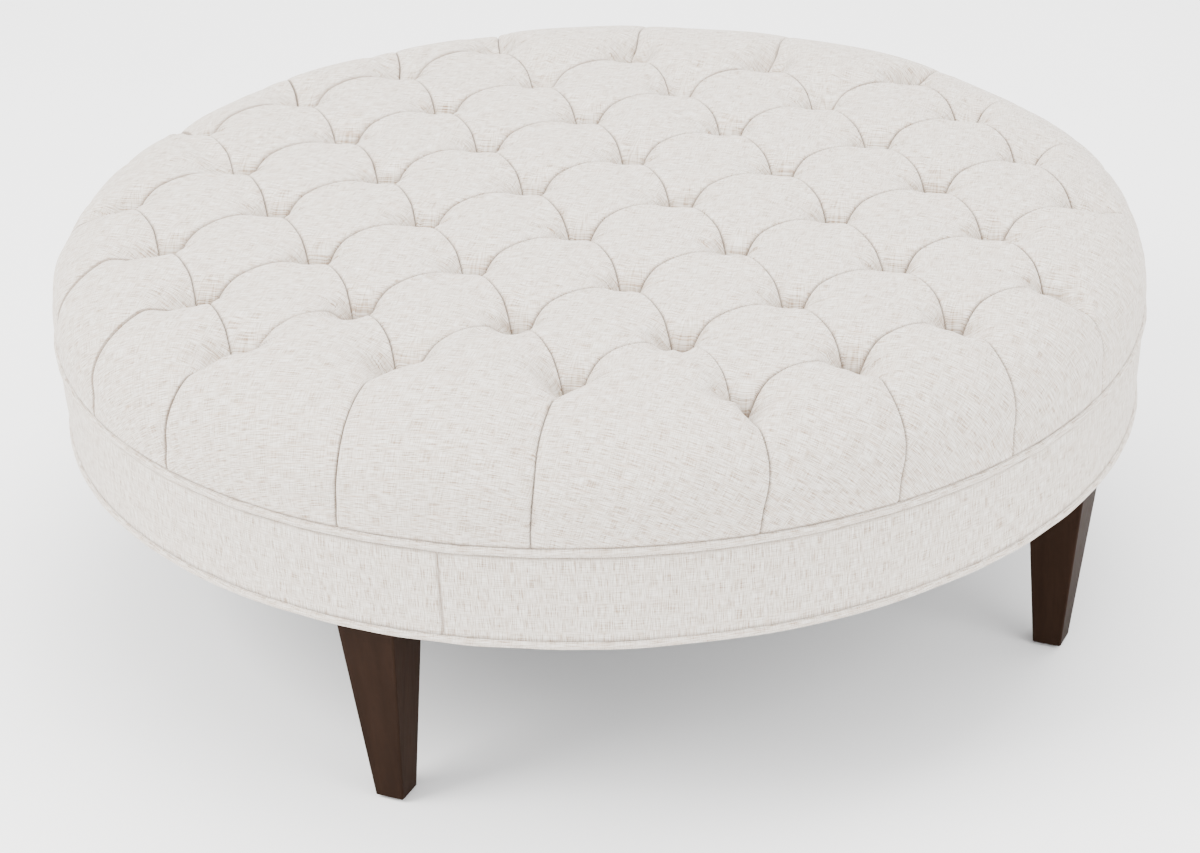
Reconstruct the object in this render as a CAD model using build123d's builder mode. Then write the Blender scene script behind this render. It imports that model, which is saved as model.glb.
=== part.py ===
from build123d import *
from math import cos, hypot, radians, sin, sqrt
import os

# Round ottoman coffee table: a deep diamond-tufted cushion on a drilled deck, a padded band
# between two welts, a timber ring frame and four tapered legs.
# Millimetres, +Z up, origin on the floor under the centre, tuft rows along X.

# Whole object
band_radius = 605.0
ring_underside = 236.0
frame_height = 110.0
fit_gap = 0.3

# Tufts in staggered rows, front to back: how many, and how far the lattice stays inside the band
tufts_in_row = (4, 5, 6, 7, 6, 7, 6, 5, 4)
end_tuft_margin = 80.0
first_row_margin = 171.0

# How deep each tuft is pulled, and how far pleats and diamonds stand over it
pillow_depth = 53.0
pocket_fall = 14.0
pleat_rise = 23.0
crown_rise = 30.0
channel_width = 2.4

# Rounded shoulder of the cushion, measured in from its widest circle
bulge_overhang = 4.0
bulge_rise = 49.0
shoulder_width = 201.0
shoulder_turn_width = 44.0
shoulder_corner_width = 12.0

# Pleats down the shoulder: their direction for each outer tuft of one quarter, and how far they sink
side_pleat_angles = {(6, 1): 14.5, (5, 2): 31.0, (4, 3): 45.3, (3, 4): 59.5, (1, 4): 80.7}
side_pleat_sink = 5.0

# Cushion body under the diamonds
skirt_wall = 5.5
skirt_slack = 1.2
floor_slack = 0.7
body_side_rise = 8.0
body_turn_width = 50.0
body_corner_share = 0.29
body_drop = 8.0
body_join_angle = 21.0
diamond_root = 4.0

# Foam and batting
foam_height = 48.0
batting_thickness = 5.0
stuffing_hole_radius = 2.5

# Twine and washers
twine_radius = 0.7
twine_hole_radius = 0.9
knot_radius = 3.0
knot_height = 5.0
tuft_washer_radius = 12.5
tuft_washer_thickness = 2.0
deck_hole_radius = 5.0

# Frame, with the margin that each piece keeps to the boards' edge
deck_thickness = 18.0
ring_thickness = 18.0
ring_width = 168.0
post_width = 45.0
post_depth = 38.0
post_count = 8
post_turn = 22.5
post_margin = 6.0
rail_thickness = 19.0
rail_margin = 23.0
rail_turn = 45.0
block_width = 96.0
block_depth = 84.0
block_height = 28.0
block_margin = 11.0

# Band round the frame
hoop_thickness = 3.0
hoop_top_drop = 12.0
padding_thickness = 1.9
band_thickness = 1.2
band_seam_angle = -89.0
band_seam_width = 0.8
band_seam_depth = 0.5
tack_strip_height = 7.0
tack_strip_thickness = 1.6

# Welts: a cord in a fabric tube, with a flange that is stapled to the frame
welt_radius = 4.5
welt_cord_radius = 3.1
upper_welt_set_back = 0.5
lower_welt_set_back = 2.0
lower_welt_rise = 2.9
welt_flange_thickness = 1.0
welt_flange_width = 9.0

# Legs
leg_turn = -8.2
leg_foot_side = 32.0
leg_top_side = 67.0
leg_margin = 12.0
leg_lean = 10.0
leg_edge_radius = 2.0
leg_foot_chamfer = 1.5
dust_cover_thickness = 0.8

# Leg hardware
bolt_radius = 4.0
bolt_depth_in_leg = 40.0
bolt_point_length = 6.0
bolt_end_over_nut = 4.0
bolt_hole_radius = 5.0
thread_gap = 0.1
t_nut_barrel_radius = 5.2
t_nut_barrel_height = 12.0
t_nut_flange_radius = 12.0
t_nut_flange_thickness = 1.6
glide_radius = 9.5
glide_height = 3.0
glide_edge_radius = 0.8
nail_head_radius = 3.0
nail_head_thickness = 1.0
nail_shank_radius = 1.1
nail_length = 16.0

# Screws and staples
screw_head_radius = 4.4
screw_head_height = 3.4
screw_shank_radius = 2.1
screw_length = 44.0
block_screw_length = 36.0
block_screw_spread = 60.0
staple_crown = 10.0
staple_leg = 7.0
staple_wire = 1.0
staples_per_ring = 40

# Top of the deck, where the cushion and the upper welt are seamed
seam_height = ring_underside + frame_height

# Layers of the band, from the fabric inwards to the edge of the boards
band_inner_radius = band_radius - band_thickness
padding_outer_radius = band_inner_radius - fit_gap
padding_inner_radius = padding_outer_radius - padding_thickness
hoop_outer_radius = padding_inner_radius - fit_gap
hoop_inner_radius = hoop_outer_radius - hoop_thickness
board_radius = hoop_inner_radius - fit_gap

# Lattice
last_row = len(tufts_in_row) // 2
tuft_spacing = 2 * (band_radius - end_tuft_margin) / (max(tufts_in_row) - 1)
column_spacing = 2 * (band_radius - first_row_margin) / last_row

# Cushion, from the deck upwards
skirt_outer_radius = board_radius
skirt_inner_radius = skirt_outer_radius - skirt_wall
foam_radius = skirt_inner_radius - skirt_slack - batting_thickness - fit_gap
foam_top = seam_height + foam_height
body_floor_height = foam_top + fit_gap + batting_thickness + floor_slack
body_side_height = body_floor_height + body_side_rise
body_turn_radius = skirt_outer_radius - body_turn_width
diamond_floor = body_floor_height + diamond_root
diamond_root_radius = skirt_outer_radius - diamond_root
pocket_height = body_floor_height + pillow_depth
bulge_radius = band_radius + bulge_overhang
bulge_height = seam_height + bulge_rise
shoulder_start_radius = bulge_radius - shoulder_width
shoulder_turn_radius = bulge_radius - shoulder_turn_width
shoulder_corner_radius = bulge_radius - shoulder_corner_width
pillow_foot_height = seam_height + welt_radius + fit_gap

# Frame
deck_underside = seam_height - deck_thickness
ring_top = ring_underside + ring_thickness
ring_inner_radius = board_radius - ring_width
leg_top = ring_underside - dust_cover_thickness
inner_height = deck_underside - ring_top
post_circle_radius = board_radius - post_margin - post_depth / 2
rail_end_radius = board_radius - rail_margin
block_circle_radius = board_radius - block_margin - block_depth / 2
leg_top_circle_radius = board_radius - leg_margin - leg_top_side / 2
leg_foot_circle_radius = leg_top_circle_radius - leg_lean

# Welts and the band between them
upper_welt_ring_radius = band_radius - upper_welt_set_back
lower_welt_ring_radius = band_radius - lower_welt_set_back
lower_welt_height = ring_underside + lower_welt_rise
lower_flange_radius = lower_welt_ring_radius - welt_radius - welt_flange_width
band_low = lower_welt_height + welt_radius + fit_gap
band_high = seam_height - welt_radius - fit_gap
hoop_top_height = seam_height - hoop_top_drop
overrun = welt_radius
leg_angles = {
    "leg_front": leg_turn - 90,
    "leg_right": leg_turn,
    "leg_back": leg_turn + 90,
    "leg_left": leg_turn + 180,
}

os.makedirs("parts", exist_ok=True)


def keep(name, part):
    """Label a finished piece and write it to its own file."""
    part.label = name
    export_step(part, f"parts/{name}.step")


def upright(angle):
    """An upright plane through the middle of the object, with its X axis pointing outwards."""
    way = radians(angle)
    return Plane((0, 0, 0), x_dir=(cos(way), sin(way), 0), z_dir=(sin(way), -cos(way), 0))


def upright_at(x, y):
    """An upright plane through a plan point, for what turns about that point."""
    return Plane((x, y, 0), x_dir=(1, 0, 0), z_dir=(0, -1, 0))


def beside(angle, radius, shift=0):
    """A plan point on a circle round the middle, moved sideways along the circle's tangent."""
    way = radians(angle)
    return radius * cos(way) - shift * sin(way), radius * sin(way) + shift * cos(way)


def level_at(angle, radius, height):
    """A level plane on a circle round the middle, with its X axis pointing outwards."""
    x, y = beside(angle, radius)
    way = radians(angle)
    return Plane((x, y, height), x_dir=(cos(way), sin(way), 0), z_dir=(0, 0, 1))


# Tuft lattice


def tuft_place(column, row):
    """Where a lattice point lies, in plan. Rows count towards the front."""
    return column * tuft_spacing / 2, -row * column_spacing / 2


def lattice():
    """Every tuft as (column, row), with neighbours in a row two columns apart."""
    found = []
    for index, count in enumerate(tufts_in_row):
        for place in range(count):
            found.append((2 * place - count + 1, index - last_row))
    return found


tufts = lattice()
tuft_places = [tuft_place(*tuft) for tuft in tufts]


def pocket_level(x, y):
    """Height of a tuft's pocket: the cushion is slightly domed."""
    return pocket_height - pocket_fall * (hypot(x, y) / band_radius) ** 2


def crown_level(radius):
    """Height of the diamonds' crowns, which fall over the shoulder as a quarter ellipse."""
    start = pocket_level(min(radius, shoulder_start_radius), 0) + crown_rise
    if radius <= shoulder_start_radius:
        return start
    reach = (radius - shoulder_start_radius) / (bulge_radius - shoulder_start_radius)
    return bulge_height + (start - bulge_height) * sqrt(1 - reach**2)


def is_outer(column, row):
    """Outer tufts end their row, or stand in the first or last row."""
    ends_row = abs(column) == tufts_in_row[row + last_row] - 1
    return abs(row) == last_row or (ends_row and row != 0)


def pleat_angle(column, row):
    """Direction in which an outer tuft's pleat reaches the upper welt."""
    angle = side_pleat_angles[abs(column), abs(row)]
    x, y = tuft_place(column, row)
    if x < 0:
        angle = 180 - angle
    return angle if y > 0 else -angle


# Tufted cushion


def diamond(column, row):
    """One diamond between four tufts: three arched sections, each along one pleat."""
    corners = [tuft_place(column + i, row + j) for i, j in ((-1, 0), (0, 1), (1, 0), (0, -1))]
    middle = Vector(*tuft_place(column, row))
    inset = 1 - channel_width / tuft_spacing
    left, front, right, back = [middle + (Vector(*corner) - middle) * inset for corner in corners]
    low = [pocket_level(*corner) for corner in corners]
    pleat = pocket_level(middle.X, middle.Y) + pleat_rise
    crown = pocket_level(middle.X, middle.Y) + crown_rise
    sections = (
        (left, low[0], front, low[1], pleat),
        ((left + back) / 2, pleat, (front + right) / 2, pleat, crown),
        (back, low[3], right, low[2], pleat),
    )
    along = (front - left).normalized()
    with BuildPart() as pillow:
        for start, start_top, end, end_top, top in sections:
            span = (end - start).length
            with BuildSketch(Plane(start, x_dir=along, z_dir=along.cross(Vector(0, 0, 1)))):
                with BuildLine():
                    Line((0, diamond_floor), (0, start_top))
                    ThreePointArc((0, start_top), (span / 2, top), (span, end_top))
                    Line((span, end_top), (span, diamond_floor))
                    Line((span, diamond_floor), (0, diamond_floor))
                make_face()
        loft()
    return pillow.part


def rim_section(place, angle, inner_level, sink, side_step):
    """A section from an inner point of the cushion over the shoulder and down to the welt."""
    outward = Vector(cos(radians(angle)), sin(radians(angle)))
    inner = Vector(*place)
    heading = (outward * bulge_radius - inner).normalized()
    start = inner + heading * channel_width + Vector(-heading.Y, heading.X) * side_step
    offset = start.X * heading.X + start.Y * heading.Y
    aside = start.X**2 + start.Y**2 - offset**2

    def reach(radius):
        return sqrt(radius**2 - aside) - offset

    turn = reach(shoulder_turn_radius)
    corner = reach(shoulder_corner_radius)
    bulge = reach(bulge_radius - sink)
    foot = reach(band_radius - fit_gap)
    root = reach(diamond_root_radius)
    crest_place = start + heading * turn / 2
    crest_radius = hypot(crest_place.X, crest_place.Y)
    crest = crown_level(crest_radius) - sink
    turn_level = crown_level(shoulder_turn_radius) - sink
    corner_level = crown_level(shoulder_corner_radius) - sink
    under = (bulge * 2 + foot) / 3
    under_level = (bulge_height + pillow_foot_height) / 2
    with BuildSketch(Plane(start, x_dir=heading, z_dir=heading.cross(Vector(0, 0, 1)))) as face:
        with BuildLine():
            Line((0, diamond_floor), (0, inner_level))
            ThreePointArc((0, inner_level), (turn / 2, crest), (turn, turn_level))
            ThreePointArc((turn, turn_level), (corner, corner_level), (bulge, bulge_height))
            ThreePointArc((bulge, bulge_height), (under, under_level), (foot, pillow_foot_height))
            Line((foot, pillow_foot_height), (root, pillow_foot_height))
            Line((root, pillow_foot_height), (root, diamond_floor))
            Line((root, diamond_floor), (0, diamond_floor))
        make_face()
    return face.sketch


def rim_lobe(first, second, first_step, second_step, first_angle, second_angle, sinks):
    """Part of a rim cell between two tufts that share a pleat."""
    place_a = tuft_place(*first)
    place_b = tuft_place(*second)
    half = ((place_a[0] + place_b[0]) / 2, (place_a[1] + place_b[1]) / 2)
    half_level = pocket_level(*half) + pleat_rise
    half_angle = (first_angle + second_angle) / 2
    sections = [
        rim_section(place_a, first_angle, pocket_level(*place_a), sinks[0], first_step),
        rim_section(half, half_angle, half_level, 0, (first_step + second_step) / 2),
        rim_section(place_b, second_angle, pocket_level(*place_b), sinks[1], second_step),
    ]
    with BuildPart() as lobe:
        loft(sections)
    return lobe.part


def rim_cells():
    """All cells between neighbouring outer tufts, in order round the cushion."""
    ring = sorted((t for t in tufts if is_outer(*t)), key=lambda t: pleat_angle(*t))
    lobes = []
    step = channel_width / 2
    for index, first in enumerate(ring):
        second = ring[(index + 1) % len(ring)]
        start = pleat_angle(*first)
        end = pleat_angle(*second)
        if end < start:
            end += 360
        if abs(first[0] - second[0]) == 1:
            sinks = (side_pleat_sink, side_pleat_sink)
            lobes.append(rim_lobe(first, second, step, -step, start, end, sinks))
            continue
        apex_column = (first[0] + second[0]) // 2
        apex_row = (first[1] + second[1]) // 2
        if first[1] == second[1]:
            apex_row -= 1 if first[1] > 0 else -1
        else:
            apex_column -= 1 if first[0] > 0 else -1
        apex = (apex_column, apex_row)
        middle = (start + end) / 2
        lobes.append(rim_lobe(first, apex, step, 0, start, middle, (side_pleat_sink, 0)))
        lobes.append(rim_lobe(apex, second, 0, -step, middle, end, (0, side_pleat_sink)))
    return lobes


def inner_cells():
    """Every diamond whose four corners are tufts."""
    known = set(tufts)
    cells = []
    for column in range(-tufts_in_row[last_row], tufts_in_row[last_row] + 1):
        for row in range(1 - last_row, last_row):
            around = {(column - 1, row), (column + 1, row), (column, row - 1), (column, row + 1)}
            if around <= known:
                cells.append(diamond(column, row))
    return cells


cushion_cells = inner_cells() + rim_cells()
centre_top = pocket_level(0, 0) - body_drop
turn_top = pocket_level(body_turn_radius, 0) - body_drop
between_radius = body_turn_radius / 2
between_top = pocket_level(between_radius, 0) - body_drop

with BuildPart() as tufted_cover:
    with BuildSketch(upright(body_join_angle)):
        with BuildLine():
            Line((0, body_floor_height), (0, centre_top))
            ThreePointArc((0, centre_top), (between_radius, between_top), (body_turn_radius, turn_top))
            ThreePointArc(
                (body_turn_radius, turn_top),
                (
                    skirt_outer_radius - body_turn_width * body_corner_share,
                    turn_top - (turn_top - body_side_height) * body_corner_share,
                ),
                (skirt_outer_radius, body_side_height),
            )
            Line((skirt_outer_radius, body_side_height), (skirt_outer_radius, seam_height))
            Line((skirt_outer_radius, seam_height), (skirt_inner_radius, seam_height))
            Line((skirt_inner_radius, seam_height), (skirt_inner_radius, body_floor_height))
            Line((skirt_inner_radius, body_floor_height), (0, body_floor_height))
        make_face()
    revolve(axis=Axis.Z)
    add(cushion_cells, clean=False)
    with BuildSketch(Plane.XY.offset(body_floor_height)):
        with Locations(*tuft_places):
            Circle(twine_hole_radius)
    extrude(amount=pocket_height - body_floor_height, mode=Mode.SUBTRACT, clean=False)
keep("tufted_cover", tufted_cover.part)


# Foam slab and the batting drawn over it

with BuildPart() as foam_core:
    with BuildSketch(Plane.XY.offset(seam_height)):
        Circle(foam_radius)
        with Locations(*tuft_places):
            Circle(stuffing_hole_radius, mode=Mode.SUBTRACT)
    extrude(amount=foam_height)
keep("foam_core", foam_core.part)

with BuildPart() as batting_wrap:
    with BuildSketch(Plane.XY.offset(seam_height)):
        Circle(foam_radius + fit_gap + batting_thickness)
    extrude(amount=foam_height + fit_gap + batting_thickness)
    with BuildSketch(Plane.XY.offset(seam_height)):
        Circle(foam_radius + fit_gap)
    extrude(amount=foam_height + fit_gap, mode=Mode.SUBTRACT)
    with BuildSketch(Plane.XY.offset(foam_top)):
        with Locations(*tuft_places):
            Circle(stuffing_hole_radius)
    extrude(amount=2 * batting_thickness, mode=Mode.SUBTRACT)
keep("batting_wrap", batting_wrap.part)


# Twines with their knots, and the washers that they pull against

washer_low = deck_underside - tuft_washer_thickness

with BuildPart() as tuft_twines:
    for x, y in tuft_places:
        twine_top = pocket_level(x, y) - body_drop
        with BuildSketch(upright_at(x, y)):
            with BuildLine():
                Line((0, washer_low - knot_height), (knot_radius, washer_low - knot_height / 2))
                Line((knot_radius, washer_low - knot_height / 2), (twine_radius, washer_low))
                Line((twine_radius, washer_low), (twine_radius, twine_top))
                Line((twine_radius, twine_top), (0, twine_top))
                Line((0, twine_top), (0, washer_low - knot_height))
            make_face()
        revolve(axis=Axis((x, y, 0), (0, 0, 1)))
keep("tuft_twines", tuft_twines.part)

with BuildPart() as tuft_washers:
    with BuildSketch(Plane.XY.offset(washer_low)):
        with Locations(*tuft_places):
            Circle(tuft_washer_radius)
            Circle(twine_hole_radius, mode=Mode.SUBTRACT)
    extrude(amount=tuft_washer_thickness)
keep("tuft_washers", tuft_washers.part)


# Places of the frame's pieces

post_angles = [leg_turn + post_turn + 360 / post_count * index for index in range(post_count)]
post_places = [beside(angle, post_circle_radius) for angle in post_angles]
bolt_places = [beside(angle, leg_top_circle_radius) for angle in leg_angles.values()]
block_screw_places = [
    beside(angle, block_circle_radius, side * block_screw_spread / 2)
    for angle in leg_angles.values()
    for side in (-1, 1)
]


def screws(places, head_height, point_height):
    """Countersunk screws at the given places, from the head's face to the point."""
    way = 1 if point_height > head_height else -1
    neck = head_height + way * screw_head_height
    shank_end = point_height - way * screw_head_height
    with BuildPart() as group:
        for x, y in places:
            with BuildSketch(upright_at(x, y)):
                with BuildLine():
                    Line((0, head_height), (screw_head_radius, head_height))
                    Line((screw_head_radius, head_height), (screw_shank_radius, neck))
                    Line((screw_shank_radius, neck), (screw_shank_radius, shank_end))
                    Line((screw_shank_radius, shank_end), (0, point_height))
                    Line((0, point_height), (0, head_height))
                make_face()
            revolve(axis=Axis((x, y, 0), (0, 0, 1)))
    return group.part


deck_screws = screws(post_places, seam_height, seam_height - screw_length)
ring_screws = screws(post_places, ring_underside, ring_underside + screw_length)
block_screws = screws(block_screw_places, ring_underside, ring_underside + block_screw_length)
keep("deck_screws", deck_screws)
keep("ring_screws", ring_screws)
keep("block_screws", block_screws)


# Frame boards

with BuildPart() as tufting_deck:
    with BuildSketch(Plane.XY.offset(deck_underside)):
        Circle(board_radius)
        with Locations(*tuft_places):
            Circle(deck_hole_radius, mode=Mode.SUBTRACT)
    extrude(amount=deck_thickness)
    add(deck_screws, mode=Mode.SUBTRACT)
keep("tufting_deck", tufting_deck.part)

with BuildPart() as frame_posts:
    with BuildSketch(Plane.XY.offset(ring_top)):
        with PolarLocations(post_circle_radius, post_count, leg_turn + post_turn):
            Rectangle(post_depth, post_width)
    extrude(amount=inner_height)
    add([deck_screws, ring_screws], mode=Mode.SUBTRACT)
keep("frame_posts", frame_posts.part)


with BuildPart() as washer_room:
    with BuildSketch(Plane.XY.offset(washer_low - knot_height)):
        with Locations(*tuft_places):
            Circle(tuft_washer_radius + fit_gap)
    extrude(amount=tuft_washer_thickness + knot_height)


def cross_rail(angle, notch_low):
    """One of two crossing rails on edge, halved at the middle, cleared under the washers."""
    with BuildPart() as board:
        with BuildSketch(level_at(angle, 0, ring_top)):
            Rectangle(2 * rail_end_radius, rail_thickness)
        extrude(amount=inner_height)
        with BuildSketch(level_at(angle, 0, ring_top + notch_low)):
            Rectangle(rail_thickness + fit_gap, rail_thickness + overrun)
        extrude(amount=inner_height / 2, mode=Mode.SUBTRACT)
        add(washer_room.part, mode=Mode.SUBTRACT)
    return board.part


keep("lower_cross_rail", cross_rail(leg_turn + rail_turn, inner_height / 2))
keep("upper_cross_rail", cross_rail(leg_turn - rail_turn, 0))


# Staples: a crown and two legs, in rings under the base

first_staple_angle = leg_turn + 180 / staples_per_ring


def staples(radius, crown_top):
    """A ring of staples whose crowns lie flat and whose legs point up."""
    leg_shift = (staple_crown - staple_wire) / 2
    with BuildPart() as ring:
        with BuildSketch(Plane.XY.offset(crown_top - staple_wire)):
            with PolarLocations(radius, staples_per_ring, first_staple_angle):
                Rectangle(staple_wire, staple_crown)
        extrude(amount=staple_wire)
        with BuildSketch(Plane.XY.offset(crown_top)):
            with PolarLocations(radius, staples_per_ring, first_staple_angle):
                with Locations((0, leg_shift), (0, -leg_shift)):
                    Rectangle(staple_wire, staple_wire)
        extrude(amount=staple_leg)
    return ring.part


dust_cover_radius = lower_flange_radius - fit_gap
hem_staples = staples(lower_flange_radius + welt_flange_width / 2, ring_underside - welt_flange_thickness)
dust_staples = staples(dust_cover_radius - staple_crown / 2, leg_top)
keep("hem_staples", hem_staples)
keep("dust_cover_staples", dust_staples)


# Base ring, leg blocks and posts

with BuildPart() as bolt_room:
    with BuildSketch(Plane.XY.offset(leg_top)):
        with Locations(*bolt_places):
            Circle(bolt_hole_radius)
    extrude(amount=inner_height)

with BuildPart() as base_ring:
    with BuildSketch(Plane.XY.offset(ring_underside)):
        Circle(board_radius)
        Circle(ring_inner_radius, mode=Mode.SUBTRACT)
    extrude(amount=ring_thickness)
    add([ring_screws, block_screws], mode=Mode.SUBTRACT)
    add([hem_staples, dust_staples], mode=Mode.SUBTRACT)
    add(bolt_room.part, mode=Mode.SUBTRACT)
keep("base_ring", base_ring.part)

block_top = ring_top + block_height

with BuildPart() as leg_blocks:
    with BuildSketch(Plane.XY.offset(ring_top)):
        with PolarLocations(block_circle_radius, len(leg_angles), leg_turn):
            Rectangle(block_depth, block_width)
    extrude(amount=block_height)
    add(bolt_room.part, mode=Mode.SUBTRACT)
    add(block_screws, mode=Mode.SUBTRACT)
    with BuildSketch(Plane.XY.offset(block_top)):
        with Locations(*bolt_places):
            Circle(t_nut_barrel_radius)
    extrude(amount=-t_nut_barrel_height, mode=Mode.SUBTRACT)
keep("leg_blocks", leg_blocks.part)


# Leg fixings: a nut driven into each block from above, and a bolt that stays in the leg

with BuildPart() as leg_t_nuts:
    with BuildSketch(Plane.XY.offset(block_top)):
        with Locations(*bolt_places):
            Circle(t_nut_barrel_radius)
    extrude(amount=-t_nut_barrel_height)
    with BuildSketch(Plane.XY.offset(block_top)):
        with Locations(*bolt_places):
            Circle(t_nut_flange_radius)
    extrude(amount=t_nut_flange_thickness)
    with BuildSketch(Plane.XY.offset(block_top - t_nut_barrel_height)):
        with Locations(*bolt_places):
            Circle(bolt_radius + thread_gap)
    extrude(amount=t_nut_barrel_height + t_nut_flange_thickness, mode=Mode.SUBTRACT)
keep("leg_t_nuts", leg_t_nuts.part)

bolt_low = leg_top - bolt_depth_in_leg
bolt_high = block_top + t_nut_flange_thickness + bolt_end_over_nut

with BuildPart() as hanger_bolts:
    for x, y in bolt_places:
        with BuildSketch(upright_at(x, y)):
            with BuildLine():
                Line((0, bolt_low), (bolt_radius, bolt_low + bolt_point_length))
                Line((bolt_radius, bolt_low + bolt_point_length), (bolt_radius, bolt_high))
                Line((bolt_radius, bolt_high), (0, bolt_high))
                Line((0, bolt_high), (0, bolt_low))
            make_face()
        revolve(axis=Axis((x, y, 0), (0, 0, 1)))
keep("hanger_bolts", hanger_bolts.part)


# Legs, each on a glide that is nailed to its foot

for name, angle in leg_angles.items():
    with BuildPart() as leg:
        with BuildSketch(level_at(angle, leg_foot_circle_radius, glide_height)):
            Rectangle(leg_foot_side, leg_foot_side)
        with BuildSketch(level_at(angle, leg_top_circle_radius, leg_top)):
            Rectangle(leg_top_side, leg_top_side)
        loft()
        foot = leg.faces().sort_by(Axis.Z)[0]
        head = leg.faces().sort_by(Axis.Z)[-1]
        corners = [edge for edge in leg.edges() if edge not in foot.edges() + head.edges()]
        fillet(corners, leg_edge_radius)
        chamfer(leg.faces().sort_by(Axis.Z)[0].edges(), leg_foot_chamfer)
        with BuildSketch(level_at(angle, leg_top_circle_radius, leg_top)):
            Circle(bolt_radius + thread_gap)
        extrude(amount=-bolt_depth_in_leg, mode=Mode.SUBTRACT)
        with BuildSketch(level_at(angle, leg_foot_circle_radius, glide_height)):
            Circle(nail_shank_radius + thread_gap)
        extrude(amount=nail_length, mode=Mode.SUBTRACT)
    keep(name, leg.part)

glide_places = [beside(angle, leg_foot_circle_radius) for angle in leg_angles.values()]
nail_head_low = nail_head_thickness / 2
nail_head_high = nail_head_low + nail_head_thickness
nail_taper = nail_length - nail_head_radius

with BuildPart() as glides:
    with BuildSketch(Plane.XY):
        with Locations(*glide_places):
            Circle(glide_radius)
    extrude(amount=glide_height)
    fillet(glides.faces().filter_by(Axis.Z).group_by(Axis.Z)[0].edges(), glide_edge_radius)
    with BuildSketch(Plane.XY):
        with Locations(*glide_places):
            Circle(nail_head_radius + thread_gap)
    extrude(amount=nail_head_high, mode=Mode.SUBTRACT)
    with BuildSketch(Plane.XY):
        with Locations(*glide_places):
            Circle(nail_shank_radius + thread_gap)
    extrude(amount=glide_height, mode=Mode.SUBTRACT)
keep("glides", glides.part)

with BuildPart() as glide_nails:
    for x, y in glide_places:
        with BuildSketch(upright_at(x, y)):
            with BuildLine():
                Line((0, nail_head_low), (nail_head_radius, nail_head_low))
                Line((nail_head_radius, nail_head_low), (nail_head_radius, nail_head_high))
                Line((nail_head_radius, nail_head_high), (nail_shank_radius, nail_head_high))
                Line((nail_shank_radius, nail_head_high), (nail_shank_radius, nail_taper))
                Line((nail_shank_radius, nail_taper), (0, nail_length))
                Line((0, nail_length), (0, nail_head_low))
            make_face()
        revolve(axis=Axis((x, y, 0), (0, 0, 1)))
keep("glide_nails", glide_nails.part)


# Dust cover under the frame

with BuildPart() as dust_cover:
    with BuildSketch(Plane.XY.offset(leg_top)):
        Circle(dust_cover_radius)
        with Locations(*bolt_places):
            Circle(bolt_hole_radius, mode=Mode.SUBTRACT)
    extrude(amount=dust_cover_thickness)
    add(dust_staples, mode=Mode.SUBTRACT)
keep("dust_cover", dust_cover.part)


# Band: a bent hoop, padding over it and the fabric with one sewn join


def band_layer(inner_radius, outer_radius, low, high):
    """A plain ring that stands round the frame."""
    with BuildPart() as layer:
        with BuildSketch(Plane.XY.offset(low)):
            Circle(outer_radius)
            Circle(inner_radius, mode=Mode.SUBTRACT)
        extrude(amount=high - low)
    return layer.part


tack_strip_low = hoop_top_height + fit_gap
tack_strip_inner_radius = hoop_inner_radius + welt_flange_thickness + fit_gap
keep("rim_hoop", band_layer(hoop_inner_radius, hoop_outer_radius, band_low, hoop_top_height))
keep(
    "band_padding",
    band_layer(padding_inner_radius, padding_outer_radius, band_low, band_high),
)
keep(
    "tack_strip",
    band_layer(
        tack_strip_inner_radius,
        tack_strip_inner_radius + tack_strip_thickness,
        tack_strip_low,
        tack_strip_low + tack_strip_height,
    ),
)

with BuildPart() as band_cover:
    add(band_layer(band_inner_radius, band_radius, band_low, band_high))
    with BuildSketch(level_at(band_seam_angle, band_radius, band_low)):
        Rectangle(2 * band_seam_depth, band_seam_width)
    extrude(amount=band_high - band_low, mode=Mode.SUBTRACT)
keep("band_cover", band_cover.part)


# Welts


def welt_cord(ring_radius, height):
    """The cord inside a welt."""
    with BuildPart() as cord:
        with BuildSketch(Plane.XZ):
            with Locations((ring_radius, height)):
                Circle(welt_cord_radius - thread_gap)
        revolve(axis=Axis.Z)
    return cord.part


with BuildPart() as upper_welt_cover:
    with BuildSketch(Plane.XZ):
        with Locations((upper_welt_ring_radius, seam_height)):
            Circle(welt_radius)
        with Locations((hoop_inner_radius, tack_strip_low)):
            Rectangle(
                welt_flange_thickness,
                seam_height + welt_flange_thickness / 2 - tack_strip_low,
                align=(Align.MIN, Align.MIN),
            )
        with Locations((hoop_inner_radius, seam_height)):
            Rectangle(
                upper_welt_ring_radius - welt_cord_radius - hoop_inner_radius,
                welt_flange_thickness,
                align=(Align.MIN, Align.CENTER),
            )
        with Locations((upper_welt_ring_radius, seam_height)):
            Circle(welt_cord_radius, mode=Mode.SUBTRACT)
    revolve(axis=Axis.Z)
keep("upper_welt_cover", upper_welt_cover.part)
keep("upper_welt_cord", welt_cord(upper_welt_ring_radius, seam_height))

with BuildPart() as lower_welt_cover:
    with BuildSketch(Plane.XZ):
        with Locations((lower_welt_ring_radius, lower_welt_height)):
            Circle(welt_radius)
        with Locations((lower_flange_radius, ring_underside)):
            Rectangle(
                lower_welt_ring_radius - welt_cord_radius - lower_flange_radius,
                welt_flange_thickness,
                align=(Align.MIN, Align.MAX),
            )
        with Locations((lower_welt_ring_radius, lower_welt_height)):
            Circle(welt_cord_radius, mode=Mode.SUBTRACT)
    revolve(axis=Axis.Z)
    add(hem_staples, mode=Mode.SUBTRACT)
keep("lower_welt_cover", lower_welt_cover.part)
keep("lower_welt_cord", welt_cord(lower_welt_ring_radius, lower_welt_height))
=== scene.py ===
from dataclasses import dataclass
from math import cos, degrees, hypot, pi, radians, sin, sqrt

import bmesh
import bpy
import numpy as np
from mathutils import Matrix, Vector


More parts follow.
